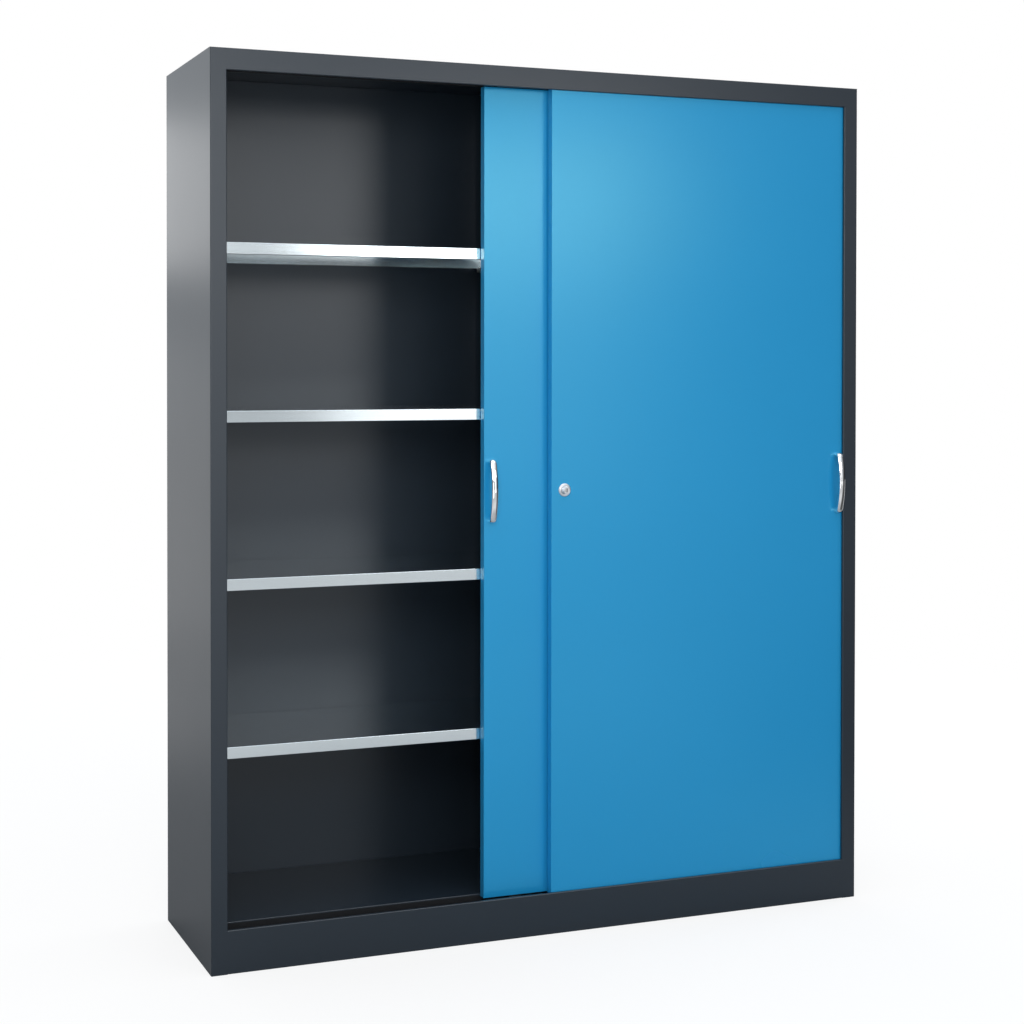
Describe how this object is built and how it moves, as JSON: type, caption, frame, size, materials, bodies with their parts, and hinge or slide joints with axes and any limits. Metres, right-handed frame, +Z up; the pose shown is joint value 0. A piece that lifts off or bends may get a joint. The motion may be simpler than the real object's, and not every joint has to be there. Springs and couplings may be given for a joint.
{
  "type": "sliding door cabinet",
  "caption": "Freestanding steel storage cabinet with overlapping sliding doors on rollers, bow handles, a push lock and adjustable shelves.",
  "frame": {"origin": "on the floor, under the middle of the whole object's width and depth, door handles included", "axes": "+X to the right as seen from the front, +Y to the back, +Z up; the doors face -Y"},
  "size_m": [1.6, 0.419, 1.95],
  "materials": {
    "carcass_paint": "fine-textured anthracite powder coat",
    "door_paint": "semi-gloss blue powder coat",
    "galvanised_steel": "bright galvanised sheet",
    "track_steel": "dark satin powder coat",
    "rail_paint": "fine-textured anthracite powder coat",
    "zinc_steel": "zinc-plated steel",
    "chrome": "polished chrome plate",
    "lock_chrome": "satin chrome plate",
    "lock_core_steel": "machined steel",
    "black_plastic": "moulded black nylon",
    "nylon": "black nylon"
  },
  "bodies": {
    "carcass": {"back_panel_left": "carcass_paint", "back_panel_right": "carcass_paint", "back_panel_rivets": "zinc_steel", "bottom_track": "track_steel", "centre_partition": "carcass_paint", "floor_panel": "carcass_paint", "foot_brackets": "zinc_steel", "front_plinth": "carcass_paint", "left_side_panel": "carcass_paint", "rear_plinth": "carcass_paint", "right_side_panel": "carcass_paint", "shelf_clips": "zinc_steel", "shelf_left_1": "galvanised_steel", "shelf_left_2": "galvanised_steel", "shelf_left_3": "galvanised_steel", "shelf_left_4": "galvanised_steel", "shelf_rail_centre_left_front": "rail_paint", "shelf_rail_centre_left_rear": "rail_paint", "shelf_rail_centre_right_front": "rail_paint", "shelf_rail_centre_right_rear": "rail_paint", "shelf_rail_left_front": "rail_paint", "shelf_rail_left_rear": "rail_paint", "shelf_rail_right_front": "rail_paint", "shelf_rail_right_rear": "rail_paint", "shelf_right_1": "galvanised_steel", "shelf_right_2": "galvanised_steel", "shelf_right_3": "galvanised_steel", "shelf_right_4": "galvanised_steel", "top_panel": "carcass_paint", "top_track": "track_steel", "track_stops": "black_plastic"},
    "rear_door": {"rear_door_panel": "door_paint", "rear_door_stiffener": "zinc_steel", "rear_door_handle": "chrome", "rear_door_handle_screws": "zinc_steel", "rear_door_guides": "black_plastic", "rear_door_roller_brackets": "zinc_steel", "rear_door_roller_axles": "zinc_steel", "strike_plate": "zinc_steel"},
    "front_door": {"front_door_panel": "door_paint", "front_door_stiffener": "zinc_steel", "front_door_handle": "chrome", "front_door_handle_screws": "zinc_steel", "front_door_guides": "black_plastic", "front_door_roller_brackets": "zinc_steel", "front_door_roller_axles": "zinc_steel", "lock_housing": "lock_chrome", "lock_nut": "zinc_steel", "lock_spring": "lock_core_steel"},
    "rear_door_left_roller": {"rear_door_roller_left": "nylon"},
    "rear_door_right_roller": {"rear_door_roller_right": "nylon"},
    "front_door_left_roller": {"front_door_roller_left": "nylon"},
    "front_door_right_roller": {"front_door_roller_right": "nylon"},
    "lock_plunger": {"lock_cylinder": "lock_chrome", "lock_bolt": "lock_core_steel"},
    "key_core": {"lock_core": "lock_core_steel"},
    "front_left_foot": {"levelling_foot_front_left": "zinc_steel"},
    "front_right_foot": {"levelling_foot_front_right": "zinc_steel"},
    "rear_left_foot": {"levelling_foot_rear_left": "zinc_steel"},
    "rear_right_foot": {"levelling_foot_rear_right": "zinc_steel"}
  },
  "joints": [
    {"name": "rear_door_slide", "type": "slide", "parent": "carcass", "child": "rear_door", "axis": [1, 0, 0], "range_m": [-0.605, 0]},
    {"name": "front_door_slide", "type": "slide", "parent": "carcass", "child": "front_door", "axis": [1, 0, 0], "range_m": [-0.13, 0]},
    {"name": "rear_door_left_roller_turn", "type": "hinge", "parent": "rear_door", "child": "rear_door_left_roller", "pos_m": [-0.0825, -0.148, 0.095], "axis": [0, 1, 0], "range_deg": [-2331, 30]},
    {"name": "rear_door_right_roller_turn", "type": "hinge", "parent": "rear_door", "child": "rear_door_right_roller", "pos_m": [0.5325, -0.148, 0.095], "axis": [0, 1, 0], "range_deg": [-2331, 30]},
    {"name": "front_door_left_roller_turn", "type": "hinge", "parent": "front_door", "child": "front_door_left_roller", "pos_m": [0.0725, -0.173, 0.095], "axis": [0, 1, 0], "range_deg": [-517, 30]},
    {"name": "front_door_right_roller_turn", "type": "hinge", "parent": "front_door", "child": "front_door_right_roller", "pos_m": [0.6875, -0.173, 0.095], "axis": [0, 1, 0], "range_deg": [-517, 30]},
    {"name": "lock_push", "type": "slide", "parent": "front_door", "child": "lock_plunger", "axis": [0, 1, 0], "range_m": [0, 0.006], "stiffness_N_per_m": 300, "springref_m": -0.002, "deforming": ["lock_spring"]},
    {"name": "key_turn", "type": "hinge", "parent": "lock_plunger", "child": "key_core", "pos_m": [0.025, -0.1955, 1.003], "axis": [0, 1, 0], "range_deg": [0, 90]},
    {"name": "front_left_foot_turn", "type": "hinge", "parent": "carcass", "child": "front_left_foot", "pos_m": [-0.769, -0.1065, 0.042], "axis": [0, 0, 1], "continuous": true},
    {"name": "front_right_foot_turn", "type": "hinge", "parent": "carcass", "child": "front_right_foot", "pos_m": [0.769, -0.1065, 0.042], "axis": [0, 0, 1], "continuous": true},
    {"name": "rear_left_foot_turn", "type": "hinge", "parent": "carcass", "child": "rear_left_foot", "pos_m": [-0.769, 0.1695, 0.042], "axis": [0, 0, 1], "continuous": true},
    {"name": "rear_right_foot_turn", "type": "hinge", "parent": "carcass", "child": "rear_right_foot", "pos_m": [0.769, 0.1695, 0.042], "axis": [0, 0, 1], "continuous": true}
  ],
  "couplings": [
    {"joint": "rear_door_left_roller_turn", "follows": "rear_door_slide", "rad_per_m": 66.667},
    {"joint": "rear_door_right_roller_turn", "follows": "rear_door_slide", "rad_per_m": 66.667},
    {"joint": "front_door_left_roller_turn", "follows": "front_door_slide", "rad_per_m": 66.667},
    {"joint": "front_door_right_roller_turn", "follows": "front_door_slide", "rad_per_m": 66.667}
  ]
}
